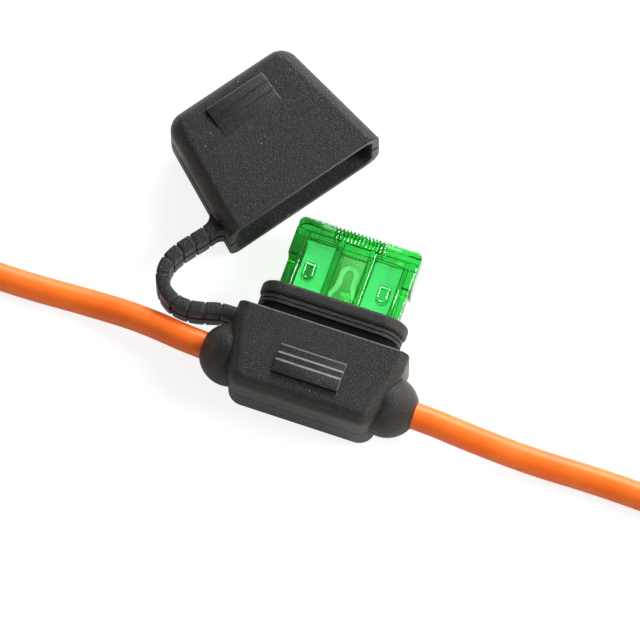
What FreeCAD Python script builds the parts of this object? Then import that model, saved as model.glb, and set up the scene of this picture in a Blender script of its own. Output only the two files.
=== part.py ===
import FreeCAD, Part
import math
import os

# Inline holder for a regular blade fuse: a soft moulded housing on two leads, with a cap on a
# tether strap. X runs along the leads, Y towards the fuse's head, and Z up from the table on
# which the housing's back lies. The origin is on that back, under the axis of the leads.
# All sizes are in millimetres.

Vector = FreeCAD.Vector

# Moulded housing
HOUSING_T = 11.0
SHOULDER_Y = 7.0
SHOULDER_HALF = 13.3
SHOULDER_STRAIGHT = 2.4
SHOULDER_CORNER_R = 0.35
BASE_Y = -5.6
BASE_HALF = 10.9
BASE_CORNER_R = 2.5
HOUSING_EDGE_R = 1.8
DOME_R = 4.7
DOME_X = 12.2

# Neck, its two sealing ribs and the lip that the cap closes over
NECK_FOOT_HALF = 11.6
NECK_FOOT_T = 6.6
NECK_FLARE = 0.9
NECK_HALF = 10.5
NECK_T = 5.4
COLLAR_Y = 9.0
COLLAR_HALF = 10.85
COLLAR_T = 6.3
RIB_COUNT = 2
RIB_H = 0.45
RIB_GROOVE = 0.2
RIB_HALF = 11.1
RIB_T = 6.8
LIP_Y = 10.3
LIP_H = 2.1
LIP_HALF = 11.4
LIP_T = 7.1
LIP_EDGE_R = 0.6

# Regular blade fuse, seen from its front
FUSE_X = 0.3
FUSE_W = 19.1
FUSE_T = 5.1
FUSE_H = 12.3
FUSE_SEAT_DEPTH = 1.2
SEAT_CUT_OVER = 1.0
FUSE_HEAD_H = 2.0
FUSE_HEAD_R = 1.0
FUSE_HEAD_EDGE_R = 0.35
FUSE_LEG_H = 6.1
FUSE_LEG_W = 1.5
FUSE_LEG_STEP = 0.3
FUSE_PANEL_T = 3.9
FUSE_RIB_T = 4.7
FUSE_RIB_W = 0.7
CHANNEL_W = 3.85
CHANNEL_DEPTH = 2.5
CHANNEL_H = 9.4
HEAD_PANEL_X = 5.55
HEAD_PANEL_W = 3.4
HEAD_PANEL_H = 1.5
HEAD_PANEL_DEPTH = 0.3
SERRATION_COUNT = 14
SERRATION_PITCH = 0.57
SERRATION_CUT = 0.28
SERRATION_DEPTH = 0.3
PROBE_W = 3.3
PROBE_T = 1.0
PROBE_SHIFT = 0.1
PROBE_OVERLAP = 0.5

# Stamped fuse element: two blades and the link between them
BLADE_T = 0.65
BLADE_W = 5.2
BLADE_X = 4.75
BLADE_TIP_Y = 4.8
BLADE_TIP_R = 0.7
BLADE_HEAD_GAP = 2.9
BLADE_NOTCH_W = 1.1
BLADE_NOTCH_H = 0.25
STAKE_X = 5.8
STAKE_Y = 14.5
STAKE_W = 1.3
STAKE_H = 2.2
LINK_T = 0.4
LINK_W = 0.7
LINK_R = 1.4
LINK_TOP_Y = 18.9
LINK_FLARE_Y = 15.8
LINK_FOOT_Y = 13.6
LINK_FOOT_H = 1.3
SLOT_GAP = 0.06

# Stamped terminals: a receptacle for one blade, with its crimps at a right angle
STRIP_T = 0.4
RECEPTACLE_HALF = 2.75
RECEPTACLE_ROLL_R = 0.95
RECEPTACLE_LIP_X = 1.2
RECEPTACLE_Y = 3.0
RECEPTACLE_L = 6.6
TERMINAL_NECK_HALF = 1.3
CRIMP_START = -1.2
CRIMP_END = 2.1
GRIP_START = 3.7
GRIP_END = 6.0
CRIMP_SEAM = 0.25
TERMINAL_GAP = 0.15
POCKET_OVERLAP = 0.5

# Leads
LEAD_D = 4.1
CONDUCTOR_D = 2.35
STUB_START = -1.4
STRIPPED_L = 8.0
LEAD_GAP = 0.05
LEAD_LIFT = 0.02
BEND_SHARE = 0.45

# Cap, drawn with its mouth at y = 0 and then set down open beside the fuse
CAP_MOUTH_HALF = 13.7
CAP_END_HALF = 10.9
CAP_L = 20.6
CAP_T = 9.5
CAP_CORNER_R = 3.0
CAP_EDGE_R = 2.1
CAP_END_WALL = 1.2
CAP_BORE_MOUTH_HALF = 12.3
CAP_BORE_END_HALF = 10.0
CAP_BORE_CORNER_R = 1.9
CAP_BORE_EDGE_R = 1.5
LIP_GAP = 0.1
CAP_TURN = 54.8
CAP_INSET = 3.2
CAP_REST_Y = 27.3

# Saw-tooth grip pads, one row for each tooth: its length, and its height where it starts and ends
PAD_W = 10.2
PAD_SINK = 0.3
PAD_RISER_RUN = 0.25
HOUSING_PAD_Y = 2.45
HOUSING_PAD_TEETH = ((1.42, 0.26, 0.18), (1.19, 0.44, 0.34), (2.14, 0.64, 0.6))
CAP_PAD_Y = 12.9
CAP_PAD_TEETH = ((2.05, 0.12, 0.1), (1.5, 0.38, 0.3), (1.7, 0.62, 0.56))

# Tether strap, with its route given from its root on the housing
STRAP_W = 2.0
STRAP_CORE_W = 1.6
STRAP_T = 4.8
STRAP_BLOCKS = 11
STRAP_NOTCH = 0.22
STRAP_CORE_REACH = 1.5
STRAP_SECTIONS = 5
STRAP_ROOT_Y = 5.65
STRAP_CAP_Y = 3.4
STRAP_GAP = 0.02
STRAP_FLARE_W = 3.9
STRAP_FLARE_L = 1.6
STRAP_ROUTE = (
    (-2.68, -0.15), (-4.98, -0.8), (-7.13, -1.15), (-9.18, -0.9), (-10.78, -0.1),
    (-11.93, 1.25), (-12.43, 2.95), (-12.23, 4.85), (-11.38, 6.7), (-10.08, 8.55),
    (-8.63, 10.45),
)

MID_Z = HOUSING_T / 2
LEAD_REST_Z = LEAD_D / 2 + LEAD_LIFT
CAP_REST_X = CAP_INSET - SHOULDER_HALF
LIP_TOP_Y = LIP_Y + LIP_H
FUSE_Y = LIP_TOP_Y - FUSE_SEAT_DEPTH
FUSE_TOP_Y = FUSE_Y + FUSE_H
BLADE_TOP_Y = FUSE_TOP_Y - BLADE_HEAD_GAP
BLADE_HALF_T = BLADE_T / 2

# Routes of the leads, from inside the crimp to the stripped end
LEFT_ROUTE = (
    (FUSE_X - BLADE_X - GRIP_START, 0.0, MID_Z), (-17.2, 0.0, MID_Z), (-26.0, 1.6, 3.9),
    (-35.0, 2.1, LEAD_REST_Z), (-46.5, 1.5, LEAD_REST_Z), (-58.0, 1.9, LEAD_REST_Z),
    (-70.4, 0.5, LEAD_REST_Z), (-89.6, -0.7, LEAD_REST_Z), (-104.0, 12.2, LEAD_REST_Z),
    (-105.0, 31.2, LEAD_REST_Z), (-92.1, 45.3, LEAD_REST_Z), (-79.4, 48.9, LEAD_REST_Z),
)
RIGHT_ROUTE = (
    (FUSE_X + BLADE_X + GRIP_START, 0.0, MID_Z), (17.2, 0.0, MID_Z), (26.0, -0.4, 4.3),
    (35.0, -0.2, 2.4), (45.0, 0.2, LEAD_REST_Z), (58.0, -0.2, LEAD_REST_Z),
    (81.5, -1.0, LEAD_REST_Z), (95.6, 13.1, LEAD_REST_Z), (95.6, 33.1, LEAD_REST_Z),
    (81.5, 47.2, LEAD_REST_Z), (62.4, 51.5, LEAD_REST_Z),
)


def prism(points, z0, z1):
    """Solid between two heights over a plan outline."""
    corners = [Vector(x, y, z0) for x, y in points]
    face = Part.Face(Part.makePolygon(corners + corners[:1]))
    return face.extrude(Vector(0, 0, z1 - z0))


def slab(x0, x1, y0, y1, thickness):
    """Box centred on the parting plane."""
    corner = Vector(x0, y0, MID_Z - thickness / 2)
    return Part.makeBox(x1 - x0, y1 - y0, thickness, corner)


def rod(x0, x1, radius):
    """Cylinder on the axis of the leads."""
    low, high = min(x0, x1), max(x0, x1)
    return Part.makeCylinder(radius, high - low, Vector(low, 0, MID_Z), Vector(1, 0, 0))


def stadium(half, thickness, y):
    """Closed outline with round ends, across the Y axis."""
    r = thickness / 2
    x = half - r
    low, high = MID_Z - r, MID_Z + r
    return Part.Wire([
        Part.LineSegment(Vector(-x, y, low), Vector(x, y, low)).toShape(),
        Part.Arc(Vector(x, y, low), Vector(half, y, MID_Z), Vector(x, y, high)).toShape(),
        Part.LineSegment(Vector(x, y, high), Vector(-x, y, high)).toShape(),
        Part.Arc(Vector(-x, y, high), Vector(-half, y, MID_Z), Vector(-x, y, low)).toShape(),
    ])


def stadium_block(half, thickness, y0, y1):
    return Part.Face(stadium(half, thickness, y0)).extrude(Vector(0, y1 - y0, 0))


def flat_edges(shape, height, open_y):
    """Edges of the faces at MID_Z plus or minus height, apart from those that lie at open_y."""
    found = []
    for edge in shape.Edges:
        z_off = [abs(abs(v.Z - MID_Z) - height) for v in edge.Vertexes]
        y_off = [abs(v.Y - open_y) for v in edge.Vertexes]
        if max(z_off) < 1e-6 and max(y_off) > 1e-6:
            found.append(edge)
    return found


def upright_edges(shape, y):
    """Edges along Z at one y."""
    found = []
    for edge in shape.Edges:
        ends = edge.Vertexes
        if len(ends) == 2 and abs(ends[0].Z - ends[1].Z) > 1e-3:
            if max(abs(v.Y - y) for v in ends) < 1e-6:
                found.append(edge)
    return found


def moulded_block(points, thickness, corner_y, corner_r, edge_r, open_y):
    """Plan outline given a thickness, with round corners at corner_y and round outer edges."""
    block = prism(points, MID_Z - thickness / 2, MID_Z + thickness / 2)
    block = block.makeFillet(corner_r, upright_edges(block, corner_y))
    return block.makeFillet(edge_r, flat_edges(block, thickness / 2, open_y))


def grip_pad(y_start, towards, face_z, teeth):
    """Saw-tooth pad whose risers face y_start; towards is 1 or -1 along Y."""
    profile = [(y_start, face_z - PAD_SINK), (y_start, face_z)]
    y = y_start
    for length, start_h, end_h in teeth:
        profile.append((y + towards * PAD_RISER_RUN, face_z + start_h))
        y += towards * length
        profile.append((y, face_z + end_h))
    profile.append((y, face_z - PAD_SINK))
    corners = [Vector(-PAD_W / 2, py, pz) for py, pz in profile]
    face = Part.Face(Part.makePolygon(corners + corners[:1]))
    return face.extrude(Vector(PAD_W, 0, 0))


def neck():
    """Flared neck, ribbed collar and lip above the shoulder."""
    flare_top = SHOULDER_Y + NECK_FLARE
    foot = stadium(NECK_FOOT_HALF, NECK_FOOT_T, SHOULDER_Y)
    flare = Part.makeLoft([foot, stadium(NECK_HALF, NECK_T, flare_top)], True)
    lip = stadium_block(LIP_HALF, LIP_T, LIP_Y, LIP_TOP_Y)
    lip = lip.makeFillet(LIP_EDGE_R, [e for f in (LIP_Y, LIP_TOP_Y) for e in rim_edges(lip, f)])
    blocks = [
        stadium_block(NECK_HALF, NECK_T, flare_top, COLLAR_Y),
        stadium_block(COLLAR_HALF, COLLAR_T, COLLAR_Y, LIP_Y),
        lip,
    ]
    for row in range(RIB_COUNT):
        top = LIP_Y - RIB_GROOVE - row * (RIB_H + RIB_GROOVE)
        blocks.append(stadium_block(RIB_HALF, RIB_T, top - RIB_H, top))
    return flare.multiFuse(blocks)


def rim_edges(shape, y):
    """Edges that lie wholly at one y."""
    return [e for e in shape.Edges if max(abs(v.Y - y) for v in e.Vertexes) < 1e-6]


def terminal_pocket(side, route):
    """Room in the housing for one terminal and its lead; side is 1 on the right."""
    centre = FUSE_X + side * BLADE_X
    half = RECEPTACLE_HALF + RECEPTACLE_ROLL_R + TERMINAL_GAP
    crimp_r = CONDUCTOR_D / 2 + STRIP_T + TERMINAL_GAP
    grip_r = LEAD_D / 2 + STRIP_T + TERMINAL_GAP
    pocket = slab(centre - half, centre + half, -crimp_r, FUSE_Y + POCKET_OVERLAP, 2 * crimp_r)
    grip = rod(centre + side * CRIMP_END, centre + side * (GRIP_END + TERMINAL_GAP), grip_r)
    bore, _, _ = lead_tube(route[:4], LEAD_D / 2 + LEAD_GAP)
    return pocket.multiFuse([grip, bore])


def shoulder_corner(side):
    """What is cut off to round one upright corner of the shoulder."""
    x, y, r = side * SHOULDER_HALF, SHOULDER_Y, SHOULDER_CORNER_R
    corner = slab(min(x, x - side * r), max(x, x - side * r), y - r, y, HOUSING_T)
    return corner.cut(Part.makeCylinder(r, HOUSING_T, Vector(x - side * r, y - r, 0)))


def housing():
    """Soft moulding round the terminals, with domes on the leads and the neck for the cap."""
    outline = [
        (-SHOULDER_HALF, SHOULDER_Y), (-SHOULDER_HALF, SHOULDER_Y - SHOULDER_STRAIGHT),
        (-BASE_HALF, BASE_Y), (BASE_HALF, BASE_Y),
        (SHOULDER_HALF, SHOULDER_Y - SHOULDER_STRAIGHT), (SHOULDER_HALF, SHOULDER_Y),
    ]
    body = moulded_block(outline, HOUSING_T, BASE_Y, BASE_CORNER_R, HOUSING_EDGE_R, SHOULDER_Y)
    body = body.cut([shoulder_corner(-1), shoulder_corner(1)])
    domes = [Part.makeSphere(DOME_R, Vector(x, 0, MID_Z)) for x in (-DOME_X, DOME_X)]
    pad = grip_pad(HOUSING_PAD_Y, -1, HOUSING_T, HOUSING_PAD_TEETH)
    body = body.multiFuse(domes + [neck(), pad])
    half = FUSE_W / 2 - FUSE_LEG_STEP + TERMINAL_GAP
    recess = slab(FUSE_X - half, FUSE_X + half, FUSE_Y, LIP_TOP_Y + SEAT_CUT_OVER,
                  FUSE_RIB_T + 2 * TERMINAL_GAP)
    cuts = [recess, terminal_pocket(-1, LEFT_ROUTE), terminal_pocket(1, RIGHT_ROUTE)]
    return body.cut(cuts).removeSplitter()


def stake_hole(side, gap, thickness):
    """D-shaped post that holds a blade in the fuse body, or its hole when gap is positive."""
    x = FUSE_X + side * STAKE_X
    half = STAKE_W / 2 + gap
    low, high = STAKE_Y - gap, STAKE_Y + STAKE_H + gap
    z = MID_Z - thickness / 2
    outline = Part.Wire([
        Part.LineSegment(Vector(x + half, low + half, z), Vector(x + half, high, z)).toShape(),
        Part.LineSegment(Vector(x + half, high, z), Vector(x - half, high, z)).toShape(),
        Part.LineSegment(Vector(x - half, high, z), Vector(x - half, low + half, z)).toShape(),
        Part.Arc(Vector(x - half, low + half, z), Vector(x, low, z),
                 Vector(x + half, low + half, z)).toShape(),
    ])
    return Part.Face(outline).extrude(Vector(0, 0, thickness))


def fuse_head():
    """Thick bar along the top, with its legs, serrated grip and two shallow panels."""
    half = FUSE_W / 2
    low_y = FUSE_TOP_Y - FUSE_HEAD_H
    bar = slab(FUSE_X - half, FUSE_X + half, low_y, FUSE_TOP_Y, FUSE_T)
    bar = bar.makeFillet(FUSE_HEAD_R, upright_edges(bar, FUSE_TOP_Y))
    top = [e for e in bar.Edges if min(v.Y for v in e.Vertexes) > low_y + 1e-6
           and abs(e.Vertexes[0].Z - e.Vertexes[-1].Z) < 1e-6]
    bar = bar.makeFillet(FUSE_HEAD_EDGE_R, top)
    leg_y = FUSE_TOP_Y - FUSE_LEG_H
    legs = [
        slab(FUSE_X - half, FUSE_X - half + FUSE_LEG_W, leg_y, low_y, FUSE_T),
        slab(FUSE_X + half - FUSE_LEG_W, FUSE_X + half, leg_y, low_y, FUSE_T),
    ]
    face_z = MID_Z + FUSE_T / 2
    cuts = []
    panel_y = low_y + (FUSE_HEAD_H - HEAD_PANEL_H) / 2
    for side in (-1, 1):
        x = FUSE_X + side * HEAD_PANEL_X - HEAD_PANEL_W / 2
        for z in (face_z - HEAD_PANEL_DEPTH, MID_Z - FUSE_T / 2):
            cuts.append(Part.makeBox(HEAD_PANEL_W, HEAD_PANEL_H, HEAD_PANEL_DEPTH,
                                     Vector(x, panel_y, z)))
    first = FUSE_X - SERRATION_PITCH * (SERRATION_COUNT - 1) / 2 - SERRATION_CUT / 2
    for tooth in range(SERRATION_COUNT):
        x = first + tooth * SERRATION_PITCH
        for z in (face_z - SERRATION_DEPTH, MID_Z - FUSE_T / 2):
            cuts.append(Part.makeBox(SERRATION_CUT, FUSE_HEAD_H, SERRATION_DEPTH,
                                     Vector(x, low_y, z)))
        cuts.append(Part.makeBox(SERRATION_CUT, SERRATION_DEPTH, FUSE_T,
                                 Vector(x, FUSE_TOP_Y - SERRATION_DEPTH, MID_Z - FUSE_T / 2)))
    return bar.multiFuse(legs).cut(cuts)


def fuse_body():
    """Clear moulded body of the fuse, hollow for the element that slides in from below."""
    half = FUSE_W / 2 - FUSE_LEG_STEP
    low_y = FUSE_TOP_Y - FUSE_HEAD_H
    panel = slab(FUSE_X - half, FUSE_X + half, FUSE_Y, low_y, FUSE_PANEL_T)
    ribs = []
    for side in (-1, 1):
        inner = FUSE_X + side * CHANNEL_W / 2
        outer = inner + side * FUSE_RIB_W
        ribs.append(slab(min(inner, outer), max(inner, outer), FUSE_Y, low_y, FUSE_RIB_T))
    body = panel.multiFuse(ribs + [fuse_head()])
    edge = BLADE_X - BLADE_W / 2
    cuts = [
        slab(FUSE_X - CHANNEL_W / 2, FUSE_X + CHANNEL_W / 2, FUSE_Y, FUSE_Y + CHANNEL_H,
             CHANNEL_DEPTH),
        slab(FUSE_X - edge, FUSE_X + edge, FUSE_Y, LINK_FOOT_Y + SLOT_GAP,
             LINK_T + 2 * SLOT_GAP),
    ]
    for side in (-1, 1):
        x = FUSE_X + side * BLADE_X
        reach = BLADE_W / 2 + SLOT_GAP
        cuts.append(slab(x - reach, x + reach, FUSE_Y, BLADE_TOP_Y + SLOT_GAP,
                         BLADE_T + 2 * SLOT_GAP))
        probe_x = x - side * PROBE_SHIFT
        cuts.append(slab(probe_x - PROBE_W / 2, probe_x + PROBE_W / 2,
                         BLADE_TOP_Y - PROBE_OVERLAP, FUSE_TOP_Y, PROBE_T))
    body = body.cut(cuts)
    posts = [stake_hole(side, 0, BLADE_T + 4 * SLOT_GAP) for side in (-1, 1)]
    return body.multiFuse(posts).removeSplitter()


def blade(side):
    """One blade of the element, with its stepped head and rounded tip."""
    x = FUSE_X + side * BLADE_X
    half = BLADE_W / 2
    notch_x = x - side * (half - BLADE_NOTCH_W)
    outline = [
        (x - side * half, BLADE_TIP_Y), (x + side * half, BLADE_TIP_Y),
        (x + side * half, BLADE_TOP_Y), (notch_x, BLADE_TOP_Y),
        (notch_x, BLADE_TOP_Y - BLADE_NOTCH_H), (x - side * half, BLADE_TOP_Y - BLADE_NOTCH_H),
    ]
    plate = prism(outline, MID_Z - BLADE_HALF_T, MID_Z + BLADE_HALF_T)
    plate = plate.makeFillet(BLADE_TIP_R, upright_edges(plate, BLADE_TIP_Y))
    return plate.cut(stake_hole(side, SLOT_GAP, 2 * BLADE_T))


def link():
    """Thin looped strip that melts, between the inner edges of the blades."""
    edge = BLADE_X - BLADE_W / 2
    inner = LINK_R - LINK_W
    arc_y = LINK_TOP_Y - LINK_R
    low_y = LINK_FOOT_Y - LINK_FOOT_H
    z = MID_Z - LINK_T / 2

    def at(x, y):
        return Vector(FUSE_X + x, y, z)

    def line(a, b):
        return Part.LineSegment(at(*a), at(*b)).toShape()

    outline = Part.Wire([
        line((-edge, LINK_FOOT_Y), (-LINK_R, LINK_FLARE_Y)),
        line((-LINK_R, LINK_FLARE_Y), (-LINK_R, arc_y)),
        Part.Arc(at(-LINK_R, arc_y), at(0, LINK_TOP_Y), at(LINK_R, arc_y)).toShape(),
        line((LINK_R, arc_y), (LINK_R, LINK_FLARE_Y)),
        line((LINK_R, LINK_FLARE_Y), (edge, LINK_FOOT_Y)),
        line((edge, LINK_FOOT_Y), (edge, low_y)),
        line((edge, low_y), (inner, LINK_FLARE_Y)),
        line((inner, LINK_FLARE_Y), (inner, arc_y)),
        Part.Arc(at(inner, arc_y), at(0, arc_y + inner), at(-inner, arc_y)).toShape(),
        line((-inner, arc_y), (-inner, LINK_FLARE_Y)),
        line((-inner, LINK_FLARE_Y), (-edge, low_y)),
        line((-edge, low_y), (-edge, LINK_FOOT_Y)),
    ])
    return Part.Face(outline).extrude(Vector(0, 0, LINK_T))


def fuse_element():
    return blade(-1).multiFuse([blade(1), link()]).removeSplitter()


def receptacle(centre):
    """Strip rolled over at both sides, so that its lips press the blade on its base."""
    base_z = MID_Z - BLADE_HALF_T
    low_z = base_z - STRIP_T
    roll_z = low_z + RECEPTACLE_ROLL_R
    top_z = roll_z + RECEPTACLE_ROLL_R
    y = RECEPTACLE_Y
    blocks = [Part.makeBox(2 * RECEPTACLE_HALF, RECEPTACLE_L, STRIP_T,
                           Vector(centre - RECEPTACLE_HALF, y, low_z))]
    for side in (-1, 1):
        x = centre + side * RECEPTACLE_HALF
        spot = Vector(x, y, roll_z)
        roll = Part.makeCylinder(RECEPTACLE_ROLL_R, RECEPTACLE_L, spot, Vector(0, 1, 0))
        roll = roll.cut(Part.makeCylinder(RECEPTACLE_ROLL_R - STRIP_T, RECEPTACLE_L, spot,
                                          Vector(0, 1, 0)))
        inside = Part.makeBox(RECEPTACLE_ROLL_R, RECEPTACLE_L, 2 * RECEPTACLE_ROLL_R,
                              Vector(min(x, x - side * RECEPTACLE_ROLL_R), y, low_z))
        blocks.append(roll.cut(inside))
        lip = centre + side * RECEPTACLE_LIP_X
        blocks.append(Part.makeBox(abs(x - lip), RECEPTACLE_L, STRIP_T,
                                   Vector(min(x, lip), y, top_z - STRIP_T)))
        blocks.append(Part.makeBox(STRIP_T, RECEPTACLE_L, top_z - MID_Z - BLADE_HALF_T,
                                   Vector(min(lip, lip + side * STRIP_T), y,
                                          MID_Z + BLADE_HALF_T)))
    return blocks[0].multiFuse(blocks[1:])


def terminal(side):
    """Receptacle, neck strip, and the crimps on the strands and on the insulation."""
    centre = FUSE_X + side * BLADE_X
    wire_r = CONDUCTOR_D / 2
    lead_r = LEAD_D / 2
    profile = [
        (CRIMP_START, wire_r), (CRIMP_END, wire_r), (GRIP_START, lead_r), (GRIP_END, lead_r),
        (GRIP_END, lead_r + STRIP_T), (GRIP_START, lead_r + STRIP_T),
        (CRIMP_END, wire_r + STRIP_T), (CRIMP_START, wire_r + STRIP_T),
    ]
    corners = [Vector(centre + side * x, 0, MID_Z + r) for x, r in profile]
    face = Part.Face(Part.makePolygon(corners + corners[:1]))
    crimp = face.revolve(Vector(centre, 0, MID_Z), Vector(1, 0, 0), 360)
    seam = Part.makeBox(2 * GRIP_END, CRIMP_SEAM, lead_r + 2 * STRIP_T,
                        Vector(centre - GRIP_END, -CRIMP_SEAM / 2, MID_Z))
    neck_low = wire_r + STRIP_T / 2
    strip = Part.makeBox(2 * TERMINAL_NECK_HALF, RECEPTACLE_Y - neck_low, STRIP_T,
                         Vector(centre - TERMINAL_NECK_HALF, neck_low,
                                MID_Z - BLADE_HALF_T - STRIP_T))
    shape = crimp.cut(seam).multiFuse([strip, receptacle(centre)])
    return shape.removeSplitter()


def route_edges(route):
    """Straight runs joined by tangent arcs; returns the edges, their length and the radii."""
    points = [Vector(*p) for p in route]
    edges, radii = [], []
    last = points[0]
    length = 0.0
    for before, corner, after in zip(points, points[1:], points[2:]):
        run_in = corner - before
        run_out = after - corner
        turn = run_in.getAngle(run_out)
        radius = BEND_SHARE * min(run_in.Length, run_out.Length) / math.tan(turn / 2)
        tangent = radius * math.tan(turn / 2)
        into = Vector(run_in).normalize()
        out = Vector(run_out).normalize()
        start = corner - into * tangent
        end = corner + out * tangent
        inward = Vector(out - into).normalize()
        middle = corner + inward * (radius / math.cos(turn / 2) - radius)
        edges.append(Part.LineSegment(last, start).toShape())
        edges.append(Part.Arc(start, middle, end).toShape())
        radii.append(radius)
        length += (start - last).Length + radius * turn
        last = end
    edges.append(Part.LineSegment(last, points[-1]).toShape())
    return edges, length + (points[-1] - last).Length, radii


def lead_tube(route, radius):
    """Round tube along a route, with its length and the radii of its bends."""
    edges, length, radii = route_edges(route)
    start = Vector(*route[0])
    along = Vector(*route[1]) - start
    section = Part.Wire([Part.makeCircle(radius, start, along)])
    return Part.Wire(edges).makePipeShell([section], True, False), length, radii


def lead_insulation(name, route):
    """Insulated run of one lead, from its crimp to where it is stripped."""
    tube, length, radii = lead_tube(route, LEAD_D / 2)
    expected = math.pi * (LEAD_D / 2) ** 2 * length
    seen = length - (DOME_X + math.sqrt(DOME_R ** 2 - (LEAD_D / 2) ** 2) - abs(route[0][0]))
    print(name, "length", round(length, 2), "outside the housing", round(seen, 2),
          "volume / section x length", round(tube.Volume / expected, 5))
    print(name, "radii", [round(r, 1) for r in radii])
    return tube


def lead_conductor(side, route):
    """Strands of one lead where they show: in the crimp, and at the stripped end."""
    centre = FUSE_X + side * BLADE_X
    stub = rod(centre + side * STUB_START, route[0][0], CONDUCTOR_D / 2)
    end = Vector(*route[-1])
    along = end - Vector(*route[-2])
    bare = Part.makeCylinder(CONDUCTOR_D / 2, STRIPPED_L, end, along)
    return Part.makeCompound([stub, bare])


def to_rest(shape):
    """Cap placement: turned open and set down beside the fuse."""
    placed = shape.copy()
    placed.rotate(Vector(0, 0, 0), Vector(0, 0, 1), CAP_TURN)
    placed.translate(Vector(CAP_REST_X, CAP_REST_Y, 0))
    return placed


def cap():
    """Hollow cap that closes over the fuse and the lip."""
    outline = [(-CAP_MOUTH_HALF, 0), (-CAP_END_HALF, CAP_L), (CAP_END_HALF, CAP_L),
               (CAP_MOUTH_HALF, 0)]
    shell = moulded_block(outline, CAP_T, CAP_L, CAP_CORNER_R, CAP_EDGE_R, 0)
    bore_end = CAP_L - CAP_END_WALL
    bore_outline = [(-CAP_BORE_MOUTH_HALF, 0), (-CAP_BORE_END_HALF, bore_end),
                    (CAP_BORE_END_HALF, bore_end), (CAP_BORE_MOUTH_HALF, 0)]
    bore = moulded_block(bore_outline, LIP_T + 2 * LIP_GAP, bore_end, CAP_BORE_CORNER_R,
                         CAP_BORE_EDGE_R, 0)
    pad = grip_pad(CAP_PAD_Y, 1, MID_Z + CAP_T / 2, CAP_PAD_TEETH)
    return to_rest(shell.cut(bore).fuse(pad).removeSplitter())


def strap_line():
    """Centre line of the strap, square to the housing's side and to the cap's side."""
    turn = math.radians(CAP_TURN)
    slope = (CAP_MOUTH_HALF - CAP_END_HALF) / CAP_L
    side_x = -(CAP_MOUTH_HALF - slope * STRAP_CAP_Y)
    inward = Vector(1, -slope, 0).normalize()
    foot = Vector(side_x, STRAP_CAP_Y, 0) - inward * STRAP_GAP
    spin = FreeCAD.Rotation(Vector(0, 0, 1), CAP_TURN)
    end = spin.multVec(foot) + Vector(CAP_REST_X, CAP_REST_Y, 0)
    start = Vector(-SHOULDER_HALF - STRAP_GAP, STRAP_ROOT_Y, 0)
    points = [start] + [start + Vector(x, y, 0) for x, y in STRAP_ROUTE] + [end]
    curve = Part.BSplineCurve()
    curve.interpolate(Points=points, InitialTangent=Vector(-1, 0, 0),
                      FinalTangent=spin.multVec(inward))
    return curve


def band(curve, start, end, width_start, width_end):
    """Solid that follows the curve between two parameters, as high as the strap."""
    rows = [[], []]
    for step in range(STRAP_SECTIONS):
        share = step / (STRAP_SECTIONS - 1)
        u = start + (end - start) * share
        half = (width_start + (width_end - width_start) * share ** 2) / 2
        along = curve.tangent(u)[0]
        across = Vector(-along.y, along.x, 0)
        for row, sign in zip(rows, (1, -1)):
            spot = curve.value(u) + across * (sign * half)
            row.append(Vector(spot.x, spot.y, MID_Z - STRAP_T / 2))
    sides = []
    for row in rows:
        side = Part.BSplineCurve()
        side.interpolate(row)
        sides.append(side.toShape())
    ends = [Part.LineSegment(rows[1][i], rows[0][i]).toShape() for i in (-1, 0)]
    outline = Part.Wire(Part.__sortEdges__([sides[0], ends[0], sides[1], ends[1]]))
    return Part.Face(outline).extrude(Vector(0, 0, STRAP_T))


def tether_strap():
    """Soft strap from the housing to the cap, notched on both sides so that it bends easily."""
    curve = strap_line()
    first, last = curve.FirstParameter, curve.LastParameter
    length = curve.length()
    spots = [curve.parameterAtDistance(length * i / STRAP_BLOCKS, first)
             for i in range(1, STRAP_BLOCKS)]
    spots = [first] + spots + [last]
    blocks = []
    pitch = length / STRAP_BLOCKS
    for i in range(STRAP_BLOCKS):
        trim = (spots[i + 1] - spots[i]) * STRAP_NOTCH / pitch / 2
        start = spots[i] + (trim if i > 0 else 0)
        end = spots[i + 1] - (trim if i < STRAP_BLOCKS - 1 else 0)
        blocks.append(band(curve, start, end, STRAP_W, STRAP_W))
        if i > 0:
            reach = STRAP_CORE_REACH * trim
            blocks.append(band(curve, spots[i] - reach, spots[i] + reach, STRAP_CORE_W,
                               STRAP_CORE_W))
    flare = curve.parameterAtDistance(length - STRAP_FLARE_L, first)
    blocks.append(band(curve, flare, last, STRAP_W, STRAP_FLARE_W))
    print("strap length", round(length, 2), "pitch", round(pitch, 2))
    return blocks[0].multiFuse(blocks[1:]).removeSplitter()


def main():
    os.makedirs("parts", exist_ok=True)
    nodes = {
        "housing": housing(),
        "tether_strap": tether_strap(),
        "cap": cap(),
        "fuse_body": fuse_body(),
        "fuse_element": fuse_element(),
        "left_terminal": terminal(-1),
        "right_terminal": terminal(1),
        "left_insulation": lead_insulation("left lead", LEFT_ROUTE),
        "right_insulation": lead_insulation("right lead", RIGHT_ROUTE),
        "left_conductor": lead_conductor(-1, LEFT_ROUTE),
        "right_conductor": lead_conductor(1, RIGHT_ROUTE),
    }
    for name, shape in nodes.items():
        print(name, "solids", len(shape.Solids), "valid", shape.isValid(),
              "volume", round(shape.Volume, 2))
        shape.exportStep(os.path.join("parts", name + ".step"))


main()
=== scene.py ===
import math
import bpy
from mathutils import Matrix, Vector


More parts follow.
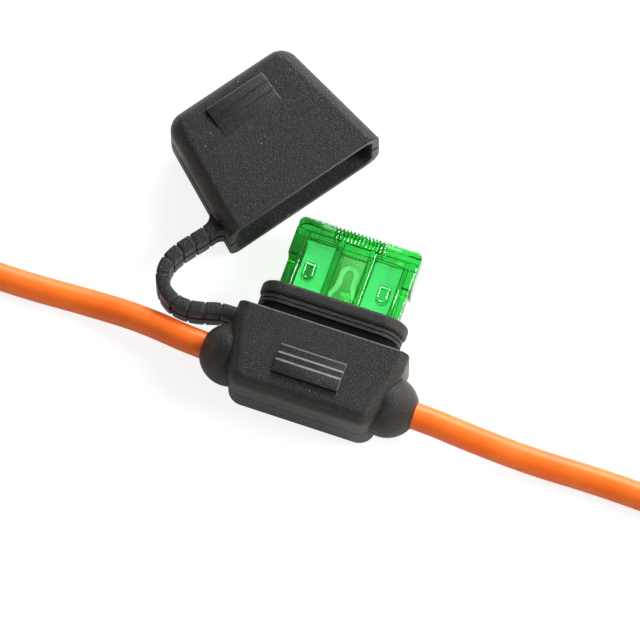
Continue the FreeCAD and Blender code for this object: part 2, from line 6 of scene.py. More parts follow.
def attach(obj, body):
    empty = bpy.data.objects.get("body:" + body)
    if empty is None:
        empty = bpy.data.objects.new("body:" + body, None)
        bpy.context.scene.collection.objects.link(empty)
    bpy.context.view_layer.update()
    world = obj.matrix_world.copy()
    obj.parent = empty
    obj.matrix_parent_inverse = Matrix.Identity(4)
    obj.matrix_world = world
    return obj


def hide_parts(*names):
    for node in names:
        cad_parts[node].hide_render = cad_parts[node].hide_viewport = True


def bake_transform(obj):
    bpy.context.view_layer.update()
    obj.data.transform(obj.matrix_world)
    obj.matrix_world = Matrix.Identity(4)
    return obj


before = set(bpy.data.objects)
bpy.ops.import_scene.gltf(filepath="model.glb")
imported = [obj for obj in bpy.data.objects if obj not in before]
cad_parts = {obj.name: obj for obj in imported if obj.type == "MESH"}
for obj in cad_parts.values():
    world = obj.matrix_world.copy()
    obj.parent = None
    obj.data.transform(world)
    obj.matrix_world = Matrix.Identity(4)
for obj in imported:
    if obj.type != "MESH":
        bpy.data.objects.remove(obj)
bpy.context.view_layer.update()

# Camera. It looks down on the open holder through a long lens, at the photograph's angle and
# with its framing: the leads run out of the picture on both sides.
MM = 0.001
AZIMUTH = math.radians(19.1)
ELEVATION = math.radians(70.0)
TARGET = Vector((-1.575, 9.508, 5.5)) * MM
VIEW_WIDTH = 94.53 * MM
LENS = 400.0
SENSOR = 36.0
NEAREST = 0.05
FARTHEST = 20.0


def towards(azimuth, elevation):
    """Unit vector from the holder to a camera or lamp; azimuth 0 is the -Y side."""
    flat = math.cos(elevation)
    return Vector((math.sin(azimuth) * flat, -math.cos(azimuth) * flat, math.sin(elevation)))


scene = bpy.context.scene
scene.view_settings.view_transform = "Standard"
camera_data = bpy.data.cameras.new("camera")
camera_data.lens = LENS
camera_data.sensor_width = SENSOR
camera_data.clip_start = NEAREST
camera_data.clip_end = FARTHEST
camera = bpy.data.objects.new("camera", camera_data)
scene.collection.objects.link(camera)
camera_direction = towards(AZIMUTH, ELEVATION)
camera.location = TARGET + camera_direction * (VIEW_WIDTH * LENS / SENSOR)
camera.rotation_mode = "QUATERNION"
camera.rotation_quaternion = (-camera_direction).to_track_quat("-Z", "Y")
scene.camera = camera


# Leads. Each is a 12 AWG hook-up lead: satin orange PVC, extruded over stranded copper. It leaves
# its dome straight, comes down to the table and bends round outside the picture.
LEAD_RADIUS = 2.05 * MM
AXIS_Z = 5.5 * MM
ORANGE = ((0.3, (0.97, 0.150, 0.011)), (0.7, (1.0, 0.188, 0.018)))
# Points of the two leads in metres, from inside the housing to the stripped end.
LEFT_ROUTE = (
    (-0.00815, 0.0, 0.0055), (-0.0172, 0.0, 0.0055), (-0.0260, 0.0016, 0.0039),
    (-0.0350, 0.0021, 0.00207), (-0.0465, 0.0015, 0.00207), (-0.0580, 0.0019, 0.00207),
    (-0.0704, 0.0005, 0.00207), (-0.0896, -0.0007, 0.00207), (-0.1040, 0.0122, 0.00207),
    (-0.1050, 0.0312, 0.00207), (-0.0921, 0.0453, 0.00207), (-0.0794, 0.0489, 0.00207),
)
RIGHT_ROUTE = (
    (0.00875, 0.0, 0.0055), (0.0172, 0.0, 0.0055), (0.0260, -0.0004, 0.0043),
    (0.0350, -0.0002, 0.0024), (0.0450, 0.0002, 0.00207), (0.0580, -0.0002, 0.00207),
    (0.0815, -0.0010, 0.00207), (0.0956, 0.0131, 0.00207), (0.0956, 0.0331, 0.00207),
    (0.0815, 0.0472, 0.00207), (0.0624, 0.0515, 0.00207),
)


def new_material(name):
    """A material, its node tree and its Principled shader."""
    material = bpy.data.materials.new(name)
    material.use_nodes = True
    return material, material.node_tree, material.node_tree.nodes["Principled BSDF"]


def add_node(tree, kind, **settings):
    """A node with its settings."""
    node = tree.nodes.new(kind)
    for key, value in settings.items():
        setattr(node, key, value)
    return node


def fill(tree, node, **values):
    """Fills inputs by name, with a socket or a plain value; an underscore stands for a space."""
    for key, value in values.items():
        socket = node.inputs[key.replace("_", " ")]
        if isinstance(value, bpy.types.NodeSocket):
            tree.links.new(value, socket)
        else:
            socket.default_value = value
    return node


def maths(tree, operation, *values, clamp=False):
    """Output of a Math node over numbers or sockets."""
    node = add_node(tree, "ShaderNodeMath", operation=operation, use_clamp=clamp)
    for socket, value in zip(node.inputs, values):
        if isinstance(value, bpy.types.NodeSocket):
            tree.links.new(value, socket)
        else:
            socket.default_value = value
    return node.outputs[0]


def ramp(tree, value, *stops):
    """Colour ramp over stops of a position and a colour."""
    node = add_node(tree, "ShaderNodeValToRGB")
    while len(node.color_ramp.elements) < len(stops):
        node.color_ramp.elements.new(0.5)
    for element, (position, colour) in zip(node.color_ramp.elements, stops):
        element.position = position
        element.color = (*colour, 1.0)
    tree.links.new(value, node.inputs["Fac"])
    return node.outputs["Color"]


def noise(tree, vector, size, detail=2.0):
    """Noise with features about size metres across."""
    node = add_node(tree, "ShaderNodeTexNoise")
    fill(tree, node, Vector=vector, Scale=1.0 / size, Detail=detail)
    return node.outputs["Fac"]


def bump(tree, height, distance, strength=1.0):
    """Normal of a relief whose height 1 is distance metres high."""
    node = add_node(tree, "ShaderNodeBump")
    fill(tree, node, Height=height, Distance=distance, Strength=strength)
    return node.outputs["Normal"]


def place_on_object(tree):
    """Place in metres, fixed to the object."""
    return add_node(tree, "ShaderNodeTexCoord").outputs["Object"]


def orange_insulation():
    """Satin PVC, faintly clouded, with a little light going through its skin."""
    material, tree, shader = new_material("orange insulation")
    place = place_on_object(tree)
    cloud = noise(tree, place, 5.0 * MM, 3.0)
    mottle = noise(tree, place, 0.35 * MM)
    fill(tree, shader,
         Base_Color=ramp(tree, cloud, *ORANGE),
         Roughness=maths(tree, "MULTIPLY_ADD", mottle, 0.2, 0.3),
         Normal=bump(tree, mottle, 0.015 * MM, 0.5),
         IOR=1.5, Specular_IOR_Level=0.3, Subsurface_Weight=0.1, Subsurface_Radius=(1.0, 0.4, 0.2),
         Subsurface_Scale=0.6 * MM)
    return material


def lead_curve(name, route):
    """The lead as one smooth tube on its route."""
    curve = bpy.data.curves.new(name, "CURVE")
    curve.dimensions = "3D"
    spline = curve.splines.new("NURBS")
    spline.points.add(len(route) - 1)
    for point, place in zip(spline.points, route):
        point.co = (*place, 1.0)
    spline.order_u = 3
    spline.use_endpoint_u = True
    curve.resolution_u = 16
    curve.bevel_depth = LEAD_RADIUS
    curve.bevel_resolution = 7
    curve.use_fill_caps = True
    lead = bpy.data.objects.new(name, curve)
    scene.collection.objects.link(lead)
    return lead


insulation_material = orange_insulation()
left_lead = lead_curve("left_lead", LEFT_ROUTE)
right_lead = lead_curve("right_lead", RIGHT_ROUTE)
for lead, node_name in ((left_lead, "left_insulation"), (right_lead, "right_insulation")):
    lead.data.materials.append(insulation_material)
    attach(lead, "holder")
    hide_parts(node_name)


# Stripped ends. The last eight millimetres of each lead are bare copper: one straight strand
# with six and then twelve more laid round it, all twisted the same way and cut square.
STRAND_RADIUS = 0.225 * MM
STRAND_RINGS = ((1, 0.0), (6, 0.455 * MM), (12, 0.91 * MM))
STRAND_SIDES = 8
STRIPPED_LENGTH = 8.0 * MM
STRIPPED_SUNK = 0.4 * MM
LAY_TURN = math.radians(80)
LAY_STEPS = 8
COPPER = ((0.3, (0.42, 0.16, 0.08)), (0.65, (0.80, 0.36, 0.20)))


def copper_strands():
    """Bare copper, tarnished in patches."""
    material, tree, shader = new_material("bare copper")
    place = place_on_object(tree)
    tarnish = noise(tree, place, 0.9 * MM, 3.0)
    scratches = noise(tree, place, 0.15 * MM)
    fill(tree, shader, Metallic=1.0,
         Base_Color=ramp(tree, tarnish, *COPPER),
         Roughness=maths(tree, "MULTIPLY_ADD", scratches, 0.3, 0.15),
         Normal=bump(tree, scratches, 0.01 * MM, 0.4))
    return material


def deselect_all():
    """Leaves no object selected, as the operators act on all that is."""
    bpy.ops.object.select_all(action="DESELECT")


def strand_bundle(name, route):
    """Strands made upright, twisted, and then turned to leave the end of the route."""
    strands = []
    rise = (STRIPPED_LENGTH + STRIPPED_SUNK) / LAY_STEPS
    for count, ring in STRAND_RINGS:
        for index in range(count):
            turn = 2 * math.pi * index / count
            spot = (ring * math.cos(turn), ring * math.sin(turn), -STRIPPED_SUNK)
            deselect_all()
            bpy.ops.mesh.primitive_circle_add(vertices=STRAND_SIDES, radius=STRAND_RADIUS,
                                              fill_type="NGON", location=spot)
            bpy.ops.object.transform_apply(location=True)
            bpy.ops.object.mode_set(mode="EDIT")
            for _ in range(LAY_STEPS):
                bpy.ops.mesh.extrude_region_move(TRANSFORM_OT_translate={"value": (0, 0, rise)})
            bpy.ops.mesh.select_all(action="SELECT")
            bpy.ops.mesh.normals_make_consistent(inside=False)
            bpy.ops.object.mode_set(mode="OBJECT")
            strands.append(bpy.context.object)
    deselect_all()
    for strand in strands:
        strand.select_set(True)
    bpy.context.view_layer.objects.active = strands[0]
    bpy.ops.object.join()
    bundle = bpy.context.object
    bundle.name = name
    for vertex in bundle.data.vertices:
        vertex.co = Matrix.Rotation(LAY_TURN * vertex.co.z / STRIPPED_LENGTH, 3, "Z") @ vertex.co
    end = Vector(route[-1])
    along = (end - Vector(route[-2])).normalized()
    turned = along.to_track_quat("Z", "X").to_matrix().to_4x4()
    bundle.data.transform(Matrix.Translation(end) @ turned)
    bpy.ops.object.shade_smooth_by_angle(angle=math.radians(50))
    return bundle


copper_material = copper_strands()
for lead, route, side in ((left_lead, LEFT_ROUTE, "left"), (right_lead, RIGHT_ROUTE, "right")):
    bundle = strand_bundle(side + "_strands", route)
    bundle.data.materials.append(copper_material)
    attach(bundle, "holder")
    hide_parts(side + "_conductor")


# Terminals. Two tin-plated brass stampings sit in the housing, crimped on the leads and
# gripping the blades. They show only through gaps, as satin metal with handling marks.
TINNED_BRASS = ((0.35, (0.50, 0.46, 0.36)), (0.65, (0.74, 0.72, 0.66)))


def terminal_metal():
    """Tin on brass, marked by handling."""
    material, tree, shader = new_material("tinned brass")
    marks = noise(tree, place_on_object(tree), 0.7 * MM, 4.0)
    fill(tree, shader, Metallic=1.0,
         Base_Color=ramp(tree, marks, *TINNED_BRASS),
         Roughness=maths(tree, "MULTIPLY_ADD", marks, 0.4, 0.15))
    return material


def dress(node_name, material):
    """Gives a CAD node its material."""
    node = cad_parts[node_name]
    node.data.materials.clear()
    node.data.materials.append(material)


terminal_material = terminal_metal()
dress("left_terminal", terminal_material)
dress("right_terminal", terminal_material)


# Housing. One soft PVC moulding over the terminals, as moulded in a grained tool: its flat faces
# are grained, its round bands are smoother, and a parting line runs round its mid height. Its
# edges turned towards the lamps carry a painted highlight, and the groove under the neck ribs is
# painted black as shade.
PARTING_Z = AXIS_Z
PARTING_HALF = 0.30 * MM
FINE_SEAM = 0.25
HOUSING_FACE_Z = 11.0 * MM
PAD_BEVEL = 0.09 * MM
# Side of the lamps, behind and to the right: bevel faces turned this way get a painted highlight.
LAMP_SIDE = Vector((0.3, 0.95, 0.0))
GRAIN_SIZE = 0.24 * MM
GRAIN_RELIEF = 0.13 * MM
GRAINED_FROM = 0.8
GRAINED_FULLY = 0.98
DUST_SPACING = 1.3 * MM
DUST_REACH = 0.06
DUST_RARE = 0.8
SHARP_EDGE = math.radians(40)
SMOOTH_UNDER = math.radians(38)
BLACK_DEEP = (0.006, 0.0062, 0.0072, 1.0)
BLACK_GRAIN = (0.043, 0.045, 0.051, 1.0)
BLACK_SMOOTH = (0.026, 0.021, 0.0155, 1.0)
# The next colour is near black for the parting line, a real dark seam, and for painted shade in
# the groove under the neck ribs.
BLACK_SEAM_AND_SHADE = (0.001, 0.001, 0.001, 1.0)
BLACK_SHINE = 0.32
GAP_DULL = 0.7
DUST = (0.26, 0.26, 0.27, 1.0)
# The next colour is a painted highlight on edges turned towards the lamps and along the shoulder's
# edge.
EDGE_HIGHLIGHT = (0.19, 0.19, 0.20, 1.0)
# Bands across the neck's foot in millimetres: the groove under the ribs, painted black as shade,
# its half width and its share of full black, and the painted highlight along the shoulder's edge.
GROOVE_Y = (7.05, 8.9)
GROOVE_HALF = 12.6
GROOVE_SHADE = 0.85
SHOULDER_HIGHLIGHT_Y = (6.85, 7.02)


def new_group(name, inputs, outputs):
    """Empty shader node group with its sockets, its input node and its output node."""
    group = bpy.data.node_groups.new(name, "ShaderNodeTree")
    for label, kind, value in inputs:
        socket = group.interface.new_socket(name=label, in_out="INPUT", socket_type=kind)
        if value is not None:
            socket.default_value = value
    for label, kind in outputs:
        group.interface.new_socket(name=label, in_out="OUTPUT", socket_type=kind)
    return group, group.nodes.new("NodeGroupInput"), group.nodes.new("NodeGroupOutput")


def mixed(tree, share, first, second):
    """Colour between two colours, by a share."""
    node = add_node(tree, "ShaderNodeMix", data_type="RGBA")
    for socket, value in ((node.inputs[0], share), (node.inputs[6], first),
                          (node.inputs[7], second)):
        if isinstance(value, bpy.types.NodeSocket):
            tree.links.new(value, socket)
        else:
            socket.default_value = value
    return node.outputs[2]


def both(tree, *masks):
    """1 where all of the masks are 1."""
    shared = masks[0]
    for mask in masks[1:]:
        shared = maths(tree, "MULTIPLY", shared, mask)
    return shared


def either(tree, *masks):
    """1 where one of the masks is 1."""
    joined = masks[0]
    for mask in masks[1:]:
        joined = maths(tree, "MAXIMUM", joined, mask)
    return joined


def within(tree, value, low, high):
    """1 where the value, in metres, lies between two limits given in millimetres."""
    return both(tree, maths(tree, "GREATER_THAN", value, low * MM),
                maths(tree, "LESS_THAN", value, high * MM))


def moulded_grain():
    """Grain, loose dust and parting line of the black moulding, with painted shade in the neck
    groove and painted highlights on edges, as colour and masks.
    """
    group, given, made = new_group(
        "moulded grain",
        [("Place", "NodeSocketVector", None), ("Deep", "NodeSocketColor", BLACK_DEEP),
         ("Grain", "NodeSocketColor", BLACK_GRAIN), ("Smooth", "NodeSocketColor", BLACK_SMOOTH),
         ("Dust", "NodeSocketColor", DUST),
         ("Grain Scale", "NodeSocketFloat", 1.0 / GRAIN_SIZE),
         ("Dust Scale", "NodeSocketFloat", 1.0 / DUST_SPACING),
         ("Line", "NodeSocketFloat", 1.0), ("Worn", "NodeSocketFloat", 0.0)],
        [("Colour", "NodeSocketColor"), ("Roughness", "NodeSocketFloat"),
         ("Height", "NodeSocketFloat")])
    place = given.outputs["Place"]
    fine = add_node(group, "ShaderNodeTexNoise")
    fill(group, fine, Vector=place, Scale=given.outputs["Grain Scale"], Detail=3.0,
         Roughness=0.7)
    facing = add_node(group, "ShaderNodeSeparateXYZ")
    fill(group, facing, Vector=add_node(group, "ShaderNodeNewGeometry").outputs["Normal"])
    upright = maths(group, "ABSOLUTE", facing.outputs["Z"])
    flat = add_node(group, "ShaderNodeMapRange")
    fill(group, flat, Value=upright, From_Min=GRAINED_FROM, From_Max=GRAINED_FULLY)
    grainy = flat.outputs["Result"]
    tone = maths(group, "MULTIPLY_ADD", fine.outputs["Fac"], 9.0, -5.0, clamp=True)
    tinted = mixed(group, tone, given.outputs["Deep"], given.outputs["Grain"])
    banded = mixed(group, grainy, given.outputs["Smooth"], tinted)
    cells = add_node(group, "ShaderNodeTexVoronoi")
    fill(group, cells, Vector=place, Scale=given.outputs["Dust Scale"])
    chosen = add_node(group, "ShaderNodeSeparateColor")
    fill(group, chosen, Color=cells.outputs["Color"])
    near = maths(group, "LESS_THAN", cells.outputs["Distance"], DUST_REACH)
    few = maths(group, "GREATER_THAN", chosen.outputs["Red"], DUST_RARE)
    dusted = mixed(group, both(group, near, few), banded, given.outputs["Dust"])
    spot = add_node(group, "ShaderNodeSeparateXYZ")
    fill(group, spot, Vector=place)
    off = maths(group, "ABSOLUTE", maths(group, "SUBTRACT", spot.outputs["Z"], PARTING_Z))
    line = both(group, maths(group, "LESS_THAN", off, PARTING_HALF),
                maths(group, "LESS_THAN", upright, 0.5), given.outputs["Line"])
    # Painted shade: the groove under the neck ribs is coloured near black where it lies in shade.
    groove_shade = both(group, within(group, spot.outputs["Y"], *GROOVE_Y),
                  within(group, spot.outputs["X"], -GROOVE_HALF, GROOVE_HALF),
                  maths(group, "LESS_THAN", spot.outputs["Z"], HOUSING_FACE_Z - 0.5 * MM))
    seam_and_shade = either(group, line, maths(group, "MULTIPLY", groove_shade, GROOVE_SHADE))
    # Painted highlight along the shoulder's edge and on the lamp-facing bevels, broken into
    # speckles by the grain.
    shoulder_highlight = both(group, within(group, spot.outputs["Y"], *SHOULDER_HIGHLIGHT_Y),
                    maths(group, "GREATER_THAN", spot.outputs["Z"],
                          HOUSING_FACE_Z - 0.05 * MM))
    patchy = maths(group, "MULTIPLY_ADD", fine.outputs["Fac"], 3.0, -0.7, clamp=True)
    painted_highlight = both(group, either(group, shoulder_highlight, given.outputs["Worn"]), patchy)
    edged = mixed(group, painted_highlight, dusted, EDGE_HIGHLIGHT)
    group.links.new(mixed(group, seam_and_shade, edged, BLACK_SEAM_AND_SHADE), made.inputs["Colour"])
    satin = maths(group, "MULTIPLY_ADD", grainy, 0.1,
                  maths(group, "MULTIPLY_ADD", fine.outputs["Fac"], 0.2, 0.2))
    group.links.new(maths(group, "MULTIPLY_ADD", seam_and_shade, GAP_DULL, satin, clamp=True),
                    made.inputs["Roughness"])
    rise = maths(group, "MULTIPLY", fine.outputs["Fac"],
                 maths(group, "MULTIPLY_ADD", grainy, -0.95, 1.8))
    group.links.new(maths(group, "SUBTRACT", rise, line), made.inputs["Height"])
    return group


def black_moulding(name, line):
    """Soft black PVC from a grained tool, with its parting line at a share of full strength and a
    painted highlight on its marked edges.
    """
    material, tree, shader = new_material(name)
    grain = add_node(tree, "ShaderNodeGroup", node_tree=grain_group)
    # This face attribute marks where the painted edge highlight goes.
    painted_highlight = add_node(tree, "ShaderNodeAttribute", attribute_name="painted_edge_highlight")
    fill(tree, grain, Place=place_on_object(tree), Line=line, Worn=painted_highlight.outputs["Fac"])
    fill(tree, shader, Base_Color=grain.outputs["Colour"], Roughness=grain.outputs["Roughness"],
         Normal=bump(tree, grain.outputs["Height"], GRAIN_RELIEF), IOR=1.5,
         Specular_IOR_Level=BLACK_SHINE)
    return material


def merged_copy(name, node_name):
    """Copy of a CAD node as one closed mesh, with its flat faces whole again."""
    deselect_all()
    piece = bpy.data.objects.new(name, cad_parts[node_name].data.copy())
    scene.collection.objects.link(piece)
    piece.select_set(True)
    bpy.context.view_layer.objects.active = piece
    bpy.ops.mesh.customdata_custom_splitnormals_clear()
    bpy.ops.object.mode_set(mode="EDIT")
    bpy.ops.mesh.select_all(action="SELECT")
    bpy.ops.mesh.remove_doubles(threshold=0.0005 * MM)
    bpy.ops.mesh.dissolve_limited(angle_limit=math.radians(0.5))
    bpy.ops.object.mode_set(mode="OBJECT")
    piece.data.materials.clear()
    return piece


def round_edges(piece, width, here, painted_highlight=False):
    """Small radius on the sharp edges whose two ends pass a test and, where asked, a painted
    highlight on the bevel faces turned towards the lamps.
    """
    bpy.context.view_layer.objects.active = piece
    bpy.context.tool_settings.mesh_select_mode = (False, True, False)
    bpy.ops.object.mode_set(mode="EDIT")
    bpy.ops.mesh.select_all(action="DESELECT")
    bpy.ops.mesh.edges_select_sharp(sharpness=SHARP_EDGE)
    bpy.ops.object.mode_set(mode="OBJECT")
    points = piece.data.vertices
    chosen = [edge.select and all(here(points[index].co) for index in edge.vertices)
              for edge in piece.data.edges]
    piece.data.polygons.foreach_set("select", [False] * len(piece.data.polygons))
    piece.data.vertices.foreach_set("select", [False] * len(points))
    piece.data.edges.foreach_set("select", chosen)
    bpy.ops.object.mode_set(mode="EDIT")
    bpy.ops.mesh.bevel(offset=width, segments=3, affect="EDGES", clamp_overlap=True)
    bpy.ops.object.mode_set(mode="OBJECT")
    # Bevel faces turned towards the lamps are marked for a painted highlight.
    if painted_highlight:
        share = piece.data.attributes.get("painted_edge_highlight")
        if share is None:
            share = piece.data.attributes.new("painted_edge_highlight", "FLOAT", "FACE")
        for face in piece.data.polygons:
            if face.select and face.normal.dot(LAMP_SIDE) > 0.05:
                share.data[face.index].value = 1.0


def shade_smooth(piece):
    """Smooth shading that stops at the piece's sharp edges."""
    deselect_all()
    piece.select_set(True)
    bpy.context.view_layer.objects.active = piece
    bpy.ops.object.shade_smooth_by_angle(angle=SMOOTH_UNDER)


grain_group = moulded_grain()
moulding_material = black_moulding("black moulding", 1.0)
housing = merged_copy("housing_moulding", "housing")
round_edges(housing, PAD_BEVEL, lambda co: co.z > HOUSING_FACE_Z + 0.01 * MM, painted_highlight=True)
shade_smooth(housing)
housing.data.materials.append(black_moulding("black moulding, fine seam", FINE_SEAM))
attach(housing, "holder")
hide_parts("housing")


# Fuse element. Blades and link are stamped from one tin-plated zinc sheet, with the fine lines
# of the rolled sheet along the blades and a slightly dull face.
TINNED_ZINC = ((0.3, (0.86, 0.88, 0.86)), (0.7, (0.96, 0.97, 0.95)))


def sheet_metal():
    """Rolled sheet, with fine lines along Y."""
    material, tree, shader = new_material("tinned zinc sheet")
    place = place_on_object(tree)
    squeeze = add_node(tree, "ShaderNodeMapping")
    fill(tree, squeeze, Vector=place, Scale=(8.0, 0.8, 1.0))
    lines = noise(tree, squeeze.outputs["Vector"], 0.9 * MM, 3.0)
    fill(tree, shader, Metallic=0.45,
         Base_Color=ramp(tree, lines, *TINNED_ZINC),
         Roughness=maths(tree, "MULTIPLY_ADD", lines, 0.25, 0.32))
    return material


dress("fuse_element", sheet_metal())


# Fuse body. It is clear green polycarbonate with polished faces, so that it darkens with its
# thickness: the head bar and its legs are deep green and the thin windows are light. Its edges,
# serration and post outlines carry painted dark lines for refraction, and its outer legs a patch
# of painted shade over a glare.
FUSE_BEVEL = 0.13 * MM
FUSE_X = 0.3 * MM
FUSE_OUTSIDE = 1.9 * MM
HEAD_Y = 21.5 * MM
SERRATED_HALF = 4.0 * MM
SERRATED_CLEAR = 0.3 * MM
SERRATION_PITCH = 0.57 * MM
POST_X = 5.8 * MM
POST_Y = 15.15 * MM
POST_REACH = 0.9 * MM
STREAK_RISE = 0.45
TEETH_RISE = 0.8
FUSE_RELIEF = 0.04 * MM
GREEN_TINT = (0.74, 0.95, 0.66, 1.0)
GREEN_WINDOW = (0.96, 1.0, 1.0, 1.0)
GREEN_ABSORBED = (0.0, 0.92, 0.36)
GREEN_DENSITY = 650.0
GREEN_SHADOW = (0.60, 0.62, 0.60, 1.0)
# The next colour is painted shade: dark lines where refraction darkens edges, grooves and post
# outlines.
GREEN_SHADE_LINE = (0.04, 0.26, 0.04, 1.0)
GREEN_SHADED = (0.45, 0.68, 0.42, 1.0)
# The next colour is painted shade over a glare on the outer legs.
GREEN_GLARE_SHADE = (0.3, 0.36, 0.3, 1.0)
# Bands of the clear moulding in millimetres, those named X as distances from its middle line.
RIB_X = (2.12, 2.95)
WINDOW_X = (3.1, 7.36)
LEG_X = 7.6
LEG_LEDGE_X = 8.0
LEG_GLARE_SHADE_X = 8.3
# Places of the painted dark refraction lines follow.
SHADE_LINES_X = ((1.93, 2.12), (2.95, 3.1), (7.36, 7.6), (8.0, 8.14))
HEAD_LINE_Y = (21.4, 21.58)
BLADE_TOP_X = (2.6, 7.4)
BLADE_TOP_Y = (20.62, 20.78)
SLOT_X = (4.0, 7.1)
SLOT_Y = (20.78, 21.4)
LEDGE_Y = (17.3, 17.5)
GLARE_SHADE_Y = (15.8, 16.8)
POST_OUTLINE = (0.80, 0.92)
# Light ridges: distance from the middle line or from the post, and half width.
RIB_STREAK = (2.78, 0.12)
LEG_STREAKS = ((7.75, 0.12), (9.2, 0.16))
POST_STREAK = (0.66, 0.13)


def ridge(tree, value, middle, half):
    """1 along a line and falling evenly to 0 beside it, with its sizes in millimetres."""
    off = maths(tree, "ABSOLUTE", maths(tree, "SUBTRACT", value, middle * MM))
    return maths(tree, "MULTIPLY_ADD", off, -1.0 / (half * MM), 1.0, clamp=True)


def fuse_marks():
    """Painted dark lines of refraction along edges, serration and post outlines, painted shade
    over a glare, and ridges, as tint and height.
    """
    group, given, made = new_group(
        "fuse marks", [("Place", "NodeSocketVector", None)],
        [("Tint", "NodeSocketColor"), ("Height", "NodeSocketFloat")])
    spot = add_node(group, "ShaderNodeSeparateXYZ")
    fill(group, spot, Vector=given.outputs["Place"])
    side = maths(group, "SUBTRACT", spot.outputs["X"], FUSE_X)
    across = maths(group, "ABSOLUTE", side)
    along = spot.outputs["Y"]
    below_head = maths(group, "LESS_THAN", along, HEAD_Y)
    uprights = either(group, *(within(group, across, *band) for band in SHADE_LINES_X))
    over_blade = both(group, within(group, across, *BLADE_TOP_X),
                      within(group, along, *BLADE_TOP_Y))
    ledge = both(group, within(group, along, *LEDGE_Y),
                 maths(group, "GREATER_THAN", across, LEG_LEDGE_X * MM))
    # Painted shade: dark lines along edges, over the blade tops and at the leg ledge.
    lines = either(group, within(group, along, *HEAD_LINE_Y), both(group, uprights, below_head),
                   over_blade, ledge)
    by_slot = both(group, within(group, along, *SLOT_Y),
                   maths(group, "SUBTRACT", 1.0, within(group, across, *SLOT_X)))
    thick = either(group, by_slot, within(group, across, *RIB_X),
                   maths(group, "GREATER_THAN", across, LEG_X * MM))
    shaded = both(group, thick, below_head)
    wave = maths(group, "FRACT", maths(group, "MULTIPLY_ADD", side, 1.0 / SERRATION_PITCH, 0.5))
    swing = maths(group, "MULTIPLY", maths(group, "ABSOLUTE",
                                           maths(group, "SUBTRACT", wave, 0.5)), 2.0)
    serrated = both(group, maths(group, "LESS_THAN", across, SERRATED_HALF),
                    maths(group, "GREATER_THAN", along, HEAD_Y))
    grooves = both(group, serrated, maths(group, "GREATER_THAN", swing, 0.5))
    beside = maths(group, "SUBTRACT", across, POST_X)
    above = maths(group, "SUBTRACT", along, POST_Y)
    down = maths(group, "MINIMUM", above, 0.0)
    reach = maths(group, "SQRT", maths(group, "ADD", maths(group, "MULTIPLY", beside, beside),
                                       maths(group, "MULTIPLY", down, down)))
    reach = maths(group, "MAXIMUM", reach, maths(group, "SUBTRACT", above, POST_REACH))
    # Painted shade over a glare on the outer legs.
    glare_shade = both(group, within(group, along, *GLARE_SHADE_Y),
                 maths(group, "GREATER_THAN", across, LEG_GLARE_SHADE_X * MM))
    front = maths(group, "GREATER_THAN", spot.outputs["Z"], PARTING_Z)
    serration_and_post_shade = either(group, grooves, within(group, reach, *POST_OUTLINE))
    # Painted shade: the dark lines, serration grooves and post outlines on the front.
    shade_lines = either(group, lines, both(group, serration_and_post_shade, front))
    window = both(group, within(group, across, *WINDOW_X),
                  within(group, along, 0.0, BLADE_TOP_Y[0]))
    tint = mixed(group, window, GREEN_TINT, GREEN_WINDOW)
    tint = mixed(group, both(group, shaded, front), tint, GREEN_SHADED)
    tint = mixed(group, both(group, glare_shade, front), tint, GREEN_GLARE_SHADE)
    group.links.new(mixed(group, shade_lines, tint, GREEN_SHADE_LINE), made.inputs["Tint"])
    streaks = either(group, ridge(group, side, *RIB_STREAK),
                     *(ridge(group, across, *streak) for streak in LEG_STREAKS))
    streaks = either(group, both(group, streaks, below_head), ridge(group, reach, *POST_STREAK))
    teeth = maths(group, "MULTIPLY", serrated, maths(group, "MULTIPLY", swing, TEETH_RISE))
    raised = maths(group, "MULTIPLY_ADD", streaks, STREAK_RISE, teeth)
    group.links.new(both(group, raised, front), made.inputs["Height"])
    return group


def clear_green():
    """Clear green plastic: its colour deepens with thickness and its shadow stays light."""
    material, tree, shader = new_material("clear green")
    place = place_on_object(tree)
    marks = add_node(tree, "ShaderNodeGroup", node_tree=fuse_marks())
    fill(tree, marks, Place=place)
    ripple = noise(tree, place, 1.4 * MM, 2.0)
    height = maths(tree, "MULTIPLY_ADD", marks.outputs["Height"], 4.0, ripple)
    fill(tree, shader, Base_Color=marks.outputs["Tint"], IOR=1.5, Transmission_Weight=1.0,
         Roughness=0.05, Normal=bump(tree, height, FUSE_RELIEF))
    absorption = add_node(tree, "ShaderNodeVolumeAbsorption")
    fill(tree, absorption, Color=(*GREEN_ABSORBED, 1.0), Density=GREEN_DENSITY)
    clear = add_node(tree, "ShaderNodeBsdfTransparent")
    clear.inputs["Color"].default_value = GREEN_SHADOW
    mix = add_node(tree, "ShaderNodeMixShader")
    path = add_node(tree, "ShaderNodeLightPath")
    tree.links.new(path.outputs["Is Shadow Ray"], mix.inputs[0])
    tree.links.new(shader.outputs[0], mix.inputs[1])
    tree.links.new(clear.outputs[0], mix.inputs[2])
    output = tree.nodes["Material Output"]
    tree.links.new(mix.outputs[0], output.inputs["Surface"])
    tree.links.new(absorption.outputs[0], output.inputs["Volume"])
    return material


fuse = merged_copy("fuse_moulding", "fuse_body")
round_edges(fuse, FUSE_BEVEL,
            lambda co: abs(co.z - PARTING_Z) > FUSE_OUTSIDE
            and (abs(co.x - FUSE_X) > SERRATED_HALF + SERRATED_CLEAR
                 or co.y < HEAD_Y - 0.05 * MM))
shade_smooth(fuse)
fuse.data.materials.append(clear_green())
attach(fuse, "holder")
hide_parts("fuse_body")


